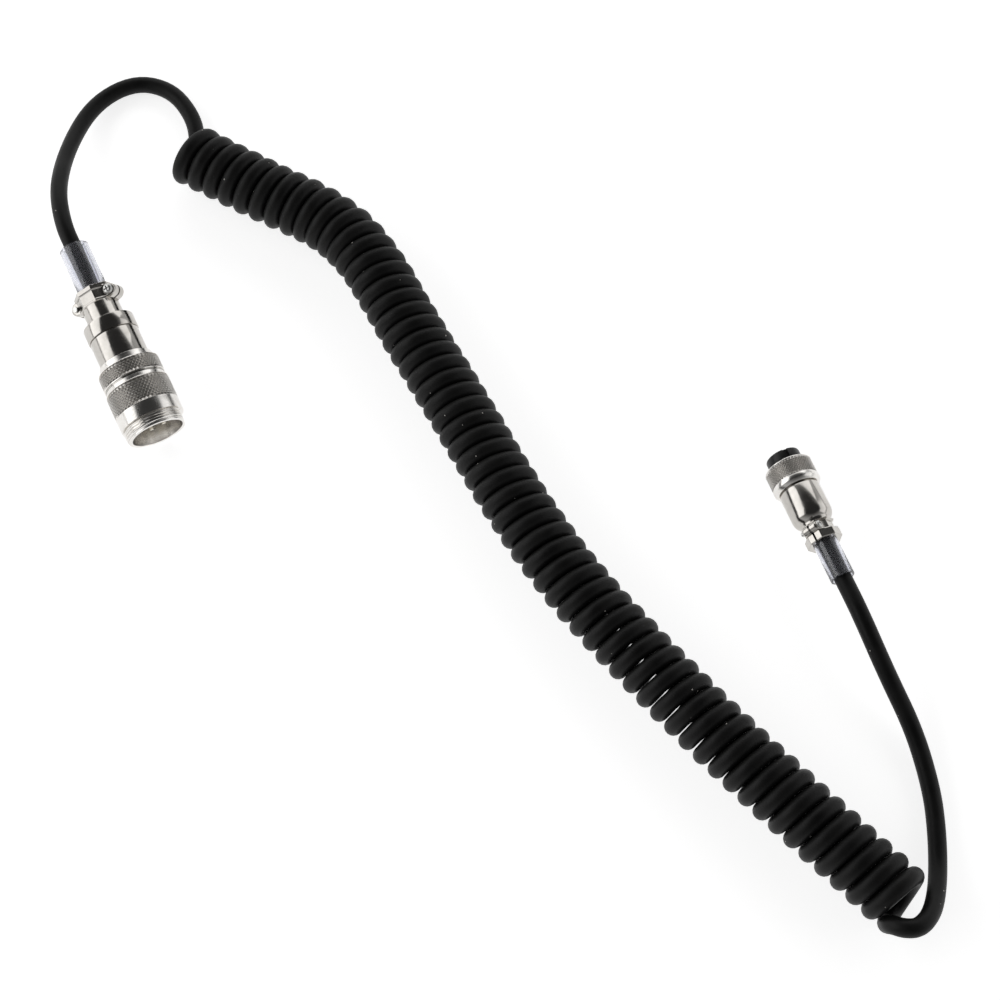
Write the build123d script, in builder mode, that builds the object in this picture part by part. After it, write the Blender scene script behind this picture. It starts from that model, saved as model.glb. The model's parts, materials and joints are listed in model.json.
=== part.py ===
"""Coiled connecting cord with a round screw-lock connector on each end.

Origin: on the table, under the middle of the box around the two connectors. +Z is up, millimetres.
The jack is the larger end, with an outside thread and pins; the plug has a coupling ring and sockets.
Each connector has its own base plane: x runs back along its axis from the mating face to the cord,
z is up.
"""
from build123d import *
from math import cos, pi, radians, sin, tan
import os

os.makedirs("parts", exist_ok=True)

# ---- driving dimensions -------------------------------------------------------------------------
CORD_D = 6.5            # jacket of the cord
COIL_D = 24.6           # outside of the curly stretch
CONTACTS = 5            # one per conductor
FIT = 0.05              # radial gap where one piece turns or slides on another
SEAT = 0.15             # gap of a loose fit that doesn't turn

JACK_MOUTH = (-106.2, -7.2)     # centre of the jack's mating face, on the table plan
JACK_HEADING = 115.9            # from the mating face back to the cord, degrees from +X
JACK_TILT = 8                   # the stiff cord holds the back end up by this many degrees
JACK_ROLL = -27                 # the clamp's split is turned this much about the axis
JACK_LOCK_R = 12.85             # largest radius

PLUG_TIP = (123.9, -15.7)
PLUG_HEADING = -70.1
PLUG_TILT = 6.5
PLUG_ROLL = -50
PLUG_RING_R = 9.4

# The jack's stations along its axis, from the mating face back.
THREAD_END, BAND_END, KNURL_END = 4.5, 9.3, 19.3
LOCK_FRONT, LOCK_BACK = 21.4, 27.8
BARREL_END, COLLAR_END, NECK_END = 41.3, 47.1, 54.2
JACK_CLAMP_END, JACK_SLEEVE_END = 61.0, 80.3
THREAD_R, BAND_R, GROOVE_R, LOCK_R = 11.7, 12.2, 11.6, 12.5
BARREL_R, COLLAR_R, NECK_R = 9.5, 9.9, 7.2
MOUTH_R, LOCK_THREAD_R = 9.8, 10.4
JACK_SLEEVE_R = 5.7

# The plug's stations, from the tip of the insert back.
RING_FRONT, RING_KNURL_END, RING_BACK = 4.9, 11.9, 14.9
PLUG_BARREL_FRONT, PLUG_BARREL_END, PLUG_NECK_END = 15.3, 26.3, 30.6
PLUG_CLAMP_END, PLUG_SLEEVE_END = 38.3, 53.1
INSERT_R, PLUG_BARREL_R, PLUG_NECK_R = 6.5, 7.7, 5.8
RING_THREAD_R, RING_LIP_R, FLANGE_R = 7.9, 6.85, 7.6
PLUG_SLEEVE_R = 4.5

# Routes of the cord: corners of its path, each on the cord's centre line. The two leads are listed
# without their ends in the connectors, which lie on the connectors' axes.
LOW = CORD_D / 2        # centre height of a cord that lies on the table
JACK_LEAD = [
    (-145.6, 73.9, 24.3), (-150.2, 92.5, 21.0), (-150.1, 119.5, 9.0), (-143.0, 141.7, 4.0),
    (-127.9, 152.5, LOW), (-112.7, 148.9, LOW), (-103.0, 135.9, LOW), (-100.4, 123.5, LOW),
    (-103.4, 112.0, LOW),
]
COIL_AXIS = [
    (-104.2, 114.4), (-74.4, 97.0), (-45.4, 82.8), (-29.9, 66.0), (-14.4, 36.0), (5.6, 1.0),
    (25.1, -35.5), (46.6, -68.0), (75.6, -101.0), (106.6, -134.0), (157.1, -182.1),
]
PLUG_LEAD = [
    (152.1, -188.0, 11.5), (160.1, -186.0, 11.0), (166.1, -177.5, 7.0), (170.1, -162.5, LOW),
    (169.5, -139.5, LOW), (164.9, -118.8, 5.0), (155.2, -100.1, 12.5), (146.8, -79.0, 16.4),
]


# ---- helpers ------------------------------------------------------------------------------------
def base_plane(front, height, heading, tilt):
    """Plane of a connector: x back along its axis, z up, origin at the centre of its front."""
    h, t = radians(heading), radians(tilt)
    along = (cos(h) * cos(t), sin(h) * cos(t), sin(t))
    upward = (-cos(h) * sin(t), -sin(h) * sin(t), cos(t))
    return Plane(origin=(front[0], front[1], height), x_dir=along, z_dir=upward)


def across(base, station, roll=0):
    """Plane square to a connector's axis: x to one side, y up, both turned by roll degrees."""
    side = base.y_dir * cos(radians(roll)) + base.z_dir * sin(radians(roll))
    return Plane(origin=base.origin + base.x_dir * station, x_dir=side, z_dir=base.x_dir)


def turned(base, profile):
    """A piece turned on the lathe: profile is a list of (station, radius) corners, in order."""
    with BuildPart() as piece:
        with BuildSketch(base):
            with BuildLine():
                Polyline(*profile, close=True)
            make_face()
        revolve(axis=Axis(base.origin, base.x_dir))
    return piece


def finish(piece, name):
    """Label a finished piece and write it as one STEP file."""
    piece.part.label = name
    export_step(piece.part, f"parts/{name}.step")


def fillet_radii(route):
    """The largest arc that each corner of a route has room for."""
    points = [Vector(*p) for p in route]
    radii = []
    for before, corner, after in zip(points, points[1:], points[2:]):
        into, out = corner - before, after - corner
        half_turn = radians(into.get_angle(out)) / 2
        radii.append(0.45 * min(into.length, out.length) / tan(half_turn))
    return radii


def tube(route, diameter, name):
    """A round tube along straight runs joined by tangent arcs."""
    radii = fillet_radii(route)
    with BuildPart() as piece:
        with BuildLine() as path:
            FilletPolyline(*route, radius=radii)
        with BuildSketch(Plane(origin=path.line @ 0, z_dir=path.line % 0)):
            Circle(diameter / 2)
        sweep()
    length = path.wires()[0].length
    expected = pi * diameter**2 / 4 * length
    print(f"{name}: length {length:.1f}, radii {[round(r, 1) for r in radii]}, "
          f"volume ratio {piece.part.volume / expected:.4f}")
    return piece


# The jack rests on the front of its thread, and the plug on the front of its coupling ring.
jack_height = THREAD_R * cos(radians(JACK_TILT))
plug_height = PLUG_RING_R * cos(radians(PLUG_TILT)) - RING_FRONT * sin(radians(PLUG_TILT))
JACK = base_plane(JACK_MOUTH, jack_height, JACK_HEADING, JACK_TILT)
PLUG = base_plane(PLUG_TIP, plug_height, PLUG_HEADING, PLUG_TILT)

# ---- jack: front shell, with the outside thread, the locking knurl and a threaded tail -----------
INSULATOR_FRONT, INSULATOR_BACK = 10.5, 20.8
STOP_FRONT, STOP_BACK, STOP_R = 20.8, 22.2, 8.7
BARREL_FRONT, SHELL_END = 22.4, 30.4
FLAT_DEPTH = 1.1        # milled flat on the thread, which keys the panel hole

with BuildPart() as jack_front_shell:
    with BuildSketch(JACK):
        with BuildLine():
            Polyline(
                (0, MOUTH_R), (0, THREAD_R - 0.5), (0.5, THREAD_R), (THREAD_END, THREAD_R),
                (THREAD_END, BAND_R - 0.3), (THREAD_END + 0.3, BAND_R), (BAND_END, BAND_R),
                (BAND_END, JACK_LOCK_R - 0.5), (BAND_END + 0.5, JACK_LOCK_R),
                (KNURL_END - 0.5, JACK_LOCK_R), (KNURL_END, JACK_LOCK_R - 0.5),
                (KNURL_END, GROOVE_R), (LOCK_FRONT - 0.6, GROOVE_R), (LOCK_FRONT - 0.6, LOCK_THREAD_R),
                (SHELL_END, LOCK_THREAD_R), (SHELL_END, MOUTH_R), (STOP_BACK, MOUTH_R),
                (STOP_BACK, STOP_R), (STOP_FRONT, STOP_R), (STOP_FRONT, MOUTH_R), close=True,
            )
        make_face()
    revolve(axis=Axis(JACK.origin, JACK.x_dir))
    with BuildSketch(across(JACK, 0)):
        with Locations((-(THREAD_R - FLAT_DEPTH / 2), 0)):
            Rectangle(FLAT_DEPTH, 2 * THREAD_R)
    extrude(amount=THREAD_END, mode=Mode.SUBTRACT)
finish(jack_front_shell, "jack_front_shell")

# ---- jack: knurled lock ring, and the washer that it pushes along ------------------------------
LOCK_BORE_R = LOCK_THREAD_R + FIT
LOCK_WASHER_T = 0.5
finish(turned(JACK, [
    (LOCK_FRONT, LOCK_BORE_R), (LOCK_FRONT, LOCK_R - 0.5), (LOCK_FRONT + 0.5, LOCK_R),
    (LOCK_BACK - 0.5, LOCK_R), (LOCK_BACK, LOCK_R - 0.5), (LOCK_BACK, LOCK_BORE_R),
]), "jack_lock_ring")
finish(turned(JACK, [
    (LOCK_FRONT - 0.55, LOCK_BORE_R), (LOCK_FRONT - 0.55, GROOVE_R),
    (LOCK_FRONT - 0.05, GROOVE_R), (LOCK_FRONT - 0.05, LOCK_BORE_R),
]), "jack_lock_washer")

# ---- jack: barrel, screwed into the shell's tail -------------------------------------------------
BARREL_BORE_R = 8.2
finish(turned(JACK, [
    (BARREL_FRONT, BARREL_BORE_R), (BARREL_FRONT, BARREL_R), (BARREL_END, BARREL_R),
    (BARREL_END, BARREL_BORE_R),
]), "jack_barrel")


# ---- cord clamps: a fixed saddle on the back shell, and a loose strap ----------------------------
EAR_SHARE = 0.5        # height of an ear, as a share of the clamp's rim radius


def clamp_outline(sleeve_r, rim_r, ear_reach, split_gap, side):
    """Half of a clamp seen along the axis: a faceted saddle with two ears, side +1 up or -1 down."""
    edge = side * split_gap / 2
    ear_top = side * rim_r * EAR_SHARE
    crown = side * rim_r
    with BuildSketch(mode=Mode.PRIVATE) as outline:
        with BuildLine():
            Polyline(
                (-ear_reach, edge), (-ear_reach, ear_top), (-rim_r * 0.72, ear_top),
                (-rim_r * 0.45, crown), (rim_r * 0.45, crown), (rim_r * 0.72, ear_top),
                (ear_reach, ear_top), (ear_reach, edge), close=True,
            )
        make_face()
        fillet(outline.vertices().group_by(Axis.Y)[-1 if side > 0 else 0], rim_r * 0.15)
        Circle(sleeve_r, mode=Mode.SUBTRACT)
    return outline.sketch


def clamp_half(base, roll, front, end, sizes, side, flange):
    """One half of the clamp as its own piece, with screw holes through its ears."""
    sleeve_r, rim_r, ear_reach, split_gap, screw_x, screw_back, hole_r = sizes
    with BuildPart() as half:
        with BuildSketch(across(base, front, roll)):
            add(clamp_outline(sleeve_r, rim_r, ear_reach, split_gap, side))
        extrude(amount=end - front)
        with BuildSketch(across(base, end - flange, roll)):
            Circle(rim_r)
            Circle(sleeve_r, mode=Mode.SUBTRACT)
            with Locations((0, -side * (rim_r - split_gap / 2))):
                Rectangle(2.2 * rim_r, 2 * rim_r, mode=Mode.SUBTRACT)
        extrude(amount=flange)
        middle = across(base, end - screw_back, roll)
        for x in (-screw_x, screw_x):
            foot = middle.origin + middle.x_dir * x - middle.y_dir * rim_r
            with BuildSketch(Plane(origin=foot, x_dir=middle.z_dir, z_dir=middle.y_dir)):
                Circle(hole_r)
            extrude(amount=2 * rim_r, mode=Mode.SUBTRACT)
    return half


def clamp_screws(base, roll, end, sizes, head_r, head_t, ways):
    """Two cross-head screws as separate solids; way +1 puts the head on the strap's side."""
    sleeve_r, rim_r, ear_reach, split_gap, screw_x, screw_back, hole_r = sizes
    middle = across(base, end - screw_back, roll)
    ear_top = rim_r * EAR_SHARE
    with BuildPart() as screws:
        for x, way in zip((-screw_x, screw_x), ways):
            seat = middle.origin + middle.x_dir * x + middle.y_dir * (way * (ear_top + 0.02))
            head_plane = Plane(origin=seat, x_dir=middle.z_dir, z_dir=middle.y_dir * way)
            with BuildSketch(head_plane):
                Circle(head_r)
            extrude(amount=head_t)
            with BuildSketch(head_plane):
                Circle(hole_r - FIT)
            extrude(amount=-(2 * ear_top + 0.8))
            with BuildSketch(head_plane.offset(head_t)):
                Rectangle(head_r * 1.2, head_r * 0.3)
                Rectangle(head_r * 0.3, head_r * 1.2)
            extrude(amount=-head_t * 0.55, mode=Mode.SUBTRACT)
    return screws


# Clamp sizes: sleeve radius, rim radius, reach of the ears, gap between the halves, the screws'
# distance to each side and from the cord end, and the radius of their holes.
JACK_CLAMP = (JACK_SLEEVE_R, 8.0, 10.2, 0.8, 7.8, 4.0, 1.2)
PLUG_CLAMP = (PLUG_SLEEVE_R, 6.7, 8.1, 0.8, 6.3, 5.0, 0.95)
JACK_FLANGE, PLUG_FLANGE = 1.5, 2.4

# ---- jack: back shell with collar, neck and fixed saddle ---------------------------------------
BACK_SPIGOT_FRONT = 36.0
NECK_BORE_R = 4.6
with BuildPart() as jack_back_shell:
    with BuildSketch(JACK):
        with BuildLine():
            Polyline(
                (BACK_SPIGOT_FRONT, 6.9), (BACK_SPIGOT_FRONT, BARREL_BORE_R),
                (BARREL_END, BARREL_BORE_R), (BARREL_END, COLLAR_R - 0.25),
                (BARREL_END + 0.25, COLLAR_R), (COLLAR_END - 0.6, COLLAR_R), (COLLAR_END, COLLAR_R - 0.6),
                (COLLAR_END, NECK_R), (NECK_END, NECK_R), (NECK_END, NECK_BORE_R),
                (COLLAR_END - 2.0, NECK_BORE_R), (COLLAR_END - 3.5, 6.9), close=True,
            )
        make_face()
    revolve(axis=Axis(JACK.origin, JACK.x_dir))
    add(clamp_half(JACK, JACK_ROLL, NECK_END, JACK_CLAMP_END, JACK_CLAMP, -1, JACK_FLANGE).part)
finish(jack_back_shell, "jack_back_shell")

finish(clamp_half(JACK, JACK_ROLL, NECK_END + SEAT, JACK_CLAMP_END, JACK_CLAMP, 1, JACK_FLANGE),
       "jack_clamp_strap")
finish(clamp_screws(JACK, JACK_ROLL, JACK_CLAMP_END, JACK_CLAMP, 1.9, 1.3, (1, -1)), "jack_clamp_screws")
finish(turned(JACK, [
    (NECK_END + SEAT, CORD_D / 2 + 0.9), (NECK_END + SEAT, JACK_SLEEVE_R),
    (JACK_SLEEVE_END, JACK_SLEEVE_R), (JACK_SLEEVE_END, CORD_D / 2 + 0.9),
]), "jack_sleeve")

# ---- jack: insulator, circlip and pins ---------------------------------------------------------
PIN_CIRCLE_R, PIN_R, PIN_TIP, PIN_BACK = 4.4, 0.9, 3.2, 26.0
with BuildPart() as jack_insulator:
    with BuildSketch(across(JACK, INSULATOR_FRONT)):
        Circle(MOUTH_R - SEAT)
        with PolarLocations(PIN_CIRCLE_R, CONTACTS):
            Circle(PIN_R, mode=Mode.SUBTRACT)
    extrude(amount=INSULATOR_BACK - INSULATOR_FRONT - 0.02)
finish(jack_insulator, "jack_insulator")

CLIP_T, CLIP_FRONT = 1.1, 9.3
with BuildPart() as jack_circlip:
    with BuildSketch(across(JACK, CLIP_FRONT)):
        Circle(MOUTH_R - 0.05)
        Circle(MOUTH_R - 1.3, mode=Mode.SUBTRACT)
        with Locations((0, -MOUTH_R)):
            Rectangle(4.0, 4.0, mode=Mode.SUBTRACT)
    extrude(amount=CLIP_T)
finish(jack_circlip, "jack_circlip")


def contact_ring(base, circle_r, first, last, outer_r, bore_r=0, bore_depth=0, tip_fillet=0.0):
    """A ring of straight contacts, each a separate solid, with an optional bore in the front."""
    with BuildPart() as contacts:
        with BuildSketch(across(base, first)):
            with PolarLocations(circle_r, CONTACTS):
                Circle(outer_r)
        extrude(amount=last - first)
        if tip_fillet:
            fillet(contacts.edges().group_by(SortBy.LENGTH)[0].sort_by(
                Axis(base.origin, base.x_dir))[:CONTACTS], tip_fillet)
        if bore_r:
            with BuildSketch(across(base, first)):
                with PolarLocations(circle_r, CONTACTS):
                    Circle(bore_r)
            extrude(amount=bore_depth, mode=Mode.SUBTRACT)
    return contacts


finish(contact_ring(JACK, PIN_CIRCLE_R, PIN_TIP, PIN_BACK, PIN_R, tip_fillet=0.55), "jack_pins")


# ---- conductors inside a connector, from the cord's end to the contacts -------------------------
def wires(base, circle_r, contact_back, cord_end, wire_r):
    """Five conductors that spread from the cord's core to the contacts, as separate solids."""
    bundle_r, straight = 1.55, 2.0
    with BuildPart() as conductors:
        for i in range(CONTACTS):
            angle = radians(360 / CONTACTS * i)
            stations = [
                (contact_back, circle_r), (contact_back + straight, circle_r),
                (cord_end - straight, bundle_r), (cord_end, bundle_r),
            ]
            points = [
                base.origin + base.x_dir * u + base.y_dir * (r * cos(angle)) + base.z_dir * (r * sin(angle))
                for u, r in stations
            ]
            with BuildLine() as path:
                FilletPolyline(*points, radius=1.5)
            with BuildSketch(Plane(origin=path.line @ 0, z_dir=path.line % 0)):
                Circle(wire_r)
            sweep()
    return conductors


def wire_sleeves(base, circle_r, contact_back, inner_r, outer_r, reach):
    """Shrink sleeves over the soldered joints, one per contact."""
    with BuildPart() as sleeves:
        with BuildSketch(across(base, contact_back - reach / 2)):
            with PolarLocations(circle_r, CONTACTS):
                Circle(outer_r)
                Circle(inner_r, mode=Mode.SUBTRACT)
        extrude(amount=reach)
    return sleeves


JACK_CORD_END = NECK_END - 1.5
WIRE_R = 0.6
finish(wires(JACK, PIN_CIRCLE_R, PIN_BACK, JACK_CORD_END, WIRE_R), "jack_wires")
finish(wire_sleeves(JACK, PIN_CIRCLE_R, PIN_BACK, PIN_R + 0.02, PIN_R + 0.3, 3.6), "jack_wire_sleeves")
finish(turned(JACK, [
    (JACK_CORD_END, 0), (JACK_CORD_END, CORD_D / 2), (JACK_SLEEVE_END, CORD_D / 2), (JACK_SLEEVE_END, 0),
]), "jack_cord_end")

# ---- plug: coupling ring, with room to float along the shell ------------------------------------
LIP_FRONT = 12.7
finish(turned(PLUG, [
    (RING_FRONT, RING_THREAD_R + 0.4), (RING_FRONT, PLUG_RING_R - 0.4), (RING_FRONT + 0.4, PLUG_RING_R),
    (RING_KNURL_END, PLUG_RING_R), (RING_KNURL_END, PLUG_RING_R - 0.35),
    (RING_BACK - 1.2, PLUG_RING_R - 0.35), (RING_BACK, PLUG_RING_R - 1.3), (RING_BACK, RING_LIP_R),
    (LIP_FRONT, RING_LIP_R), (LIP_FRONT, RING_THREAD_R), (RING_FRONT + 0.4, RING_THREAD_R),
]), "plug_coupling_ring")
finish(turned(PLUG, [
    (LIP_FRONT - 0.85, RING_LIP_R), (LIP_FRONT - 0.85, FLANGE_R), (LIP_FRONT - 0.05, FLANGE_R),
    (LIP_FRONT - 0.05, RING_LIP_R),
]), "plug_thrust_washer")

# ---- plug: front shell, which carries the ring between its flange and the back shell -------------
FLANGE_FRONT, FLANGE_BACK, SHELL_NECK_R = 8.8, 10.3, RING_LIP_R - FIT
SHELL_TAIL_R, SHELL_TAIL_END, SHELL_BORE_R = 6.25, 21.0, 5.6
finish(turned(PLUG, [
    (FLANGE_FRONT, SHELL_BORE_R), (FLANGE_FRONT, FLANGE_R), (FLANGE_BACK, FLANGE_R),
    (FLANGE_BACK, SHELL_NECK_R), (PLUG_BARREL_FRONT, SHELL_NECK_R), (PLUG_BARREL_FRONT, SHELL_TAIL_R),
    (SHELL_TAIL_END, SHELL_TAIL_R), (SHELL_TAIL_END, SHELL_BORE_R),
]), "plug_front_shell")

# ---- plug: back shell with rounded shoulder and fixed saddle -----------------------------------
PLUG_NECK_BORE_R = 3.9
with BuildPart() as plug_back_shell:
    with BuildSketch(PLUG):
        with BuildLine():
            Polyline(
                (SHELL_TAIL_END + 3.5, PLUG_NECK_BORE_R), (SHELL_TAIL_END + 0.1, SHELL_BORE_R),
                (SHELL_TAIL_END + 0.1, SHELL_TAIL_R),
                (PLUG_BARREL_FRONT, SHELL_TAIL_R), (PLUG_BARREL_FRONT, PLUG_BARREL_R - 0.3),
                (PLUG_BARREL_FRONT + 0.3, PLUG_BARREL_R), (PLUG_BARREL_END, PLUG_BARREL_R),
                (PLUG_BARREL_END + 1.6, PLUG_BARREL_R - 0.35), (PLUG_BARREL_END + 2.9, PLUG_NECK_R + 0.8),
                (PLUG_BARREL_END + 3.5, PLUG_NECK_R), (PLUG_NECK_END, PLUG_NECK_R),
                (PLUG_NECK_END, PLUG_NECK_BORE_R), close=True,
            )
        make_face()
    revolve(axis=Axis(PLUG.origin, PLUG.x_dir))
    add(clamp_half(PLUG, PLUG_ROLL, PLUG_NECK_END, PLUG_CLAMP_END, PLUG_CLAMP, -1, PLUG_FLANGE).part)
finish(plug_back_shell, "plug_back_shell")

finish(clamp_half(PLUG, PLUG_ROLL, PLUG_NECK_END + SEAT, PLUG_CLAMP_END, PLUG_CLAMP, 1, PLUG_FLANGE),
       "plug_clamp_strap")
finish(clamp_screws(PLUG, PLUG_ROLL, PLUG_CLAMP_END, PLUG_CLAMP, 1.45, 1.0, (1, 1)), "plug_clamp_screws")
finish(turned(PLUG, [
    (PLUG_NECK_END + SEAT, CORD_D / 2 + 0.6), (PLUG_NECK_END + SEAT, PLUG_SLEEVE_R),
    (PLUG_SLEEVE_END, PLUG_SLEEVE_R), (PLUG_SLEEVE_END, CORD_D / 2 + 0.6),
]), "plug_sleeve")

# ---- plug: insert and socket contacts ----------------------------------------------------------
INSERT_BACK = 18.0
SOCKET_CIRCLE_R, SOCKET_R, SOCKET_BORE_R, SOCKET_BACK = 3.6, 1.15, 0.8, 20.5
KEYWAY_W, KEYWAY_DEPTH = 1.8, 0.9
with BuildPart() as plug_insert:
    with BuildSketch(across(PLUG, 0)):
        Circle(INSERT_R)
    extrude(amount=RING_FRONT)
    chamfer(plug_insert.edges().sort_by(Axis(PLUG.origin, PLUG.x_dir))[0], 0.4)
    with BuildSketch(across(PLUG, RING_FRONT)):
        Circle(INSERT_R - 0.25)
    extrude(amount=FLANGE_FRONT - 0.05 - RING_FRONT)
    with BuildSketch(across(PLUG, FLANGE_FRONT - 0.05)):
        Circle(SHELL_BORE_R - 0.05)
    extrude(amount=INSERT_BACK - FLANGE_FRONT + 0.05)
    with BuildSketch(across(PLUG, 0)):
        with PolarLocations(SOCKET_CIRCLE_R, CONTACTS):
            Circle(SOCKET_R)
        with Locations((0, INSERT_R)):
            Rectangle(KEYWAY_W, 2 * KEYWAY_DEPTH)
    extrude(amount=FLANGE_FRONT - 1.0, mode=Mode.SUBTRACT)
    with BuildSketch(across(PLUG, FLANGE_FRONT - 1.0)):
        with PolarLocations(SOCKET_CIRCLE_R, CONTACTS):
            Circle(SOCKET_R)
    extrude(amount=INSERT_BACK - FLANGE_FRONT + 1.0, mode=Mode.SUBTRACT)
finish(plug_insert, "plug_insert")
finish(contact_ring(PLUG, SOCKET_CIRCLE_R, 0.6, SOCKET_BACK, SOCKET_R, SOCKET_BORE_R, 9.0), "plug_contacts")

PLUG_CORD_END = PLUG_NECK_END - 1.0
finish(wires(PLUG, SOCKET_CIRCLE_R, SOCKET_BACK, PLUG_CORD_END, 0.5), "plug_wires")
finish(turned(PLUG, [
    (PLUG_CORD_END, 0), (PLUG_CORD_END, CORD_D / 2), (PLUG_SLEEVE_END, CORD_D / 2), (PLUG_SLEEVE_END, 0),
]), "plug_cord_end")

# ---- cord: two free leads and the curly stretch ---------------------------------------------------
jack_exit = tuple(JACK.origin + JACK.x_dir * JACK_SLEEVE_END)
plug_exit = tuple(PLUG.origin + PLUG.x_dir * PLUG_SLEEVE_END)
finish(tube([jack_exit] + JACK_LEAD, CORD_D, "cord_jack_lead"), "cord_jack_lead")
finish(tube([(x, y, COIL_D / 2) for x, y in COIL_AXIS], COIL_D, "cord_coil"), "cord_coil")
finish(tube(PLUG_LEAD + [plug_exit], CORD_D, "cord_plug_lead"), "cord_plug_lead")
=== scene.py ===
# %% [markdown]
# # A coiled cord with two metal connectors
# The object is a black curly cord that lies on a table. Each end carries a round screw-lock connector
# of nickel-plated brass. The imported model gives the places of the connectors and of everything that
# moves, and this script makes the looks.
# First the frame is loaded.

import json
from math import cos, pi, radians, sin

import bmesh
import bpy
from mathutils import Matrix, Vector


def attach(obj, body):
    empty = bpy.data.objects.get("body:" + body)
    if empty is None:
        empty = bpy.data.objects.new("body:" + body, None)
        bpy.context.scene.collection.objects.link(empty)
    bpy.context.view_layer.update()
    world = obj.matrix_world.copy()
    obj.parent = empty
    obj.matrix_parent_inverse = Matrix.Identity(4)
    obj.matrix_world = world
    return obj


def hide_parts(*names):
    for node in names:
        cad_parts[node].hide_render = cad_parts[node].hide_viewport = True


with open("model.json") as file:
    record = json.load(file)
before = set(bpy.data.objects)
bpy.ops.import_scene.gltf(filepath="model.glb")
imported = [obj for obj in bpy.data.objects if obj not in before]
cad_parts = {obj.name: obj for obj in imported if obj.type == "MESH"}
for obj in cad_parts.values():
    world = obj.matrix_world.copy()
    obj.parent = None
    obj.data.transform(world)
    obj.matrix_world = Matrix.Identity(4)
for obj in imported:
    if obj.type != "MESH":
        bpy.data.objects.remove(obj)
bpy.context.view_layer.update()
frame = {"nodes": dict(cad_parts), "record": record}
MM = 0.001

# %% [markdown]
# The camera stands over the table and looks steeply down. A long lens keeps the two connectors in
# proportion, and the near end of the coil still looks a little larger than the far end, as a thing
# seen from arm's length does.

# %% Camera
LOOK_AT = Vector((19.9, -29.1, 0)) * MM
CAMERA_DISTANCE, CAMERA_ELEVATION = 719 * MM, radians(67.4)

camera = bpy.data.objects.new("camera", bpy.data.cameras.new("camera"))
camera.data.lens, camera.data.sensor_width = 70, 36
away = Vector((0, -cos(CAMERA_ELEVATION), sin(CAMERA_ELEVATION)))
camera.location = LOOK_AT + away * CAMERA_DISTANCE
camera.rotation_euler = (-away).to_track_quat("-Z", "Y").to_euler()
bpy.context.scene.collection.objects.link(camera)
bpy.context.scene.camera = camera
print("camera at", [round(c, 3) for c in camera.location])

# %% [markdown]
# Each connector gets a base matrix. Its X axis runs back from the mating face to the cord, and Z is
# up. The mounts of the imported record say where the two axes are, so nothing is measured
# by hand. Every metal piece is then drawn in plain connector millimetres: a station along the axis
# and a radius.

# %% Bases of the two connectors
record = frame["record"]
mounts = {m["name"]: m for m in record["mounts"]}


def connector_base(mount_name, wall_start):
    """Base of a connector: the mount's wall begins wall_start mm behind the mating face."""
    mount = mounts[mount_name]
    out = Vector(mount["axis"]).normalized()
    front = Vector(mount["pos_m"]) + out * (wall_start * MM + mount["dims"]["length_mm"] * MM / 2)
    back = -out
    side = Vector((0, 0, 1)).cross(back).normalized()
    turn = Matrix((back, side, back.cross(side))).transposed().to_4x4()
    return Matrix.Translation(front) @ turn @ Matrix.Scale(MM, 4)


JACK = connector_base("jack_thread", 0.5)
PLUG = connector_base("plug_insert_spigot", 0.4)
for label, base in (("jack", JACK), ("plug", PLUG)):
    print(label, "mating face, mm:", [round(c / MM, 1) for c in base.translation])

# %% [markdown]
# The cord is one length of round rubber-jacketed cable. Both leads are soft curves on the table, and
# the middle is wound into a left-handed spring while warm. One spline holds all of it, so that no
# joint shows where a lead runs into the coil. The leads are a short list of points. The turns are
# worked out in a loop, around the line that the coil's own axis takes.

# %% Where the cord runs
CORD_D, COIL_D = 6.5, 24.6
LOW = CORD_D / 2                    # centre height of cord on the table
JACK_CORD_START, JACK_SLEEVE_END = 52.7, 80.3
PLUG_CORD_START, PLUG_SLEEVE_END = 29.6, 53.1


def on_axis(base, station):
    """A point on a connector's axis, in millimetres of the row frame."""
    return tuple((base @ Vector((station, 0, 0))) / MM)


JACK_LEAD = [
    on_axis(JACK, JACK_CORD_START), on_axis(JACK, JACK_SLEEVE_END - 10), on_axis(JACK, JACK_SLEEVE_END),
    (-145.6, 73.9, 24.3), (-150.2, 92.5, 21.0), (-150.1, 119.5, 9.0), (-143.0, 141.7, 4.0),
    (-127.9, 152.5, LOW), (-112.7, 148.9, LOW), (-103.0, 135.9, LOW), (-100.4, 123.5, LOW),
]
COIL_AXIS = [
    (-104.2, 114.4), (-74.4, 97.0), (-45.4, 82.8), (-29.9, 66.0), (-14.4, 36.0), (5.6, 1.0),
    (25.1, -35.5), (46.6, -68.0), (75.6, -101.0), (106.6, -134.0), (157.1, -182.1),
]
PLUG_LEAD = [
    (149.5, -187.9, 16.2), (152.9, -189.7, 18.8), (157.9, -189.6, 19.0), (163.0, -184.6, 15.4),
    (166.6, -176.6, 9.8), (169.0, -166.5, 4.8), (170.0, -153.5, LOW), (169.5, -139.5, LOW),
    (164.9, -118.8, 5.0), (155.2, -100.1, 12.5), (146.8, -79.0, 16.4),
    on_axis(PLUG, PLUG_SLEEVE_END), on_axis(PLUG, PLUG_SLEEVE_END - 8), on_axis(PLUG, PLUG_CORD_START),
]


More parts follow.
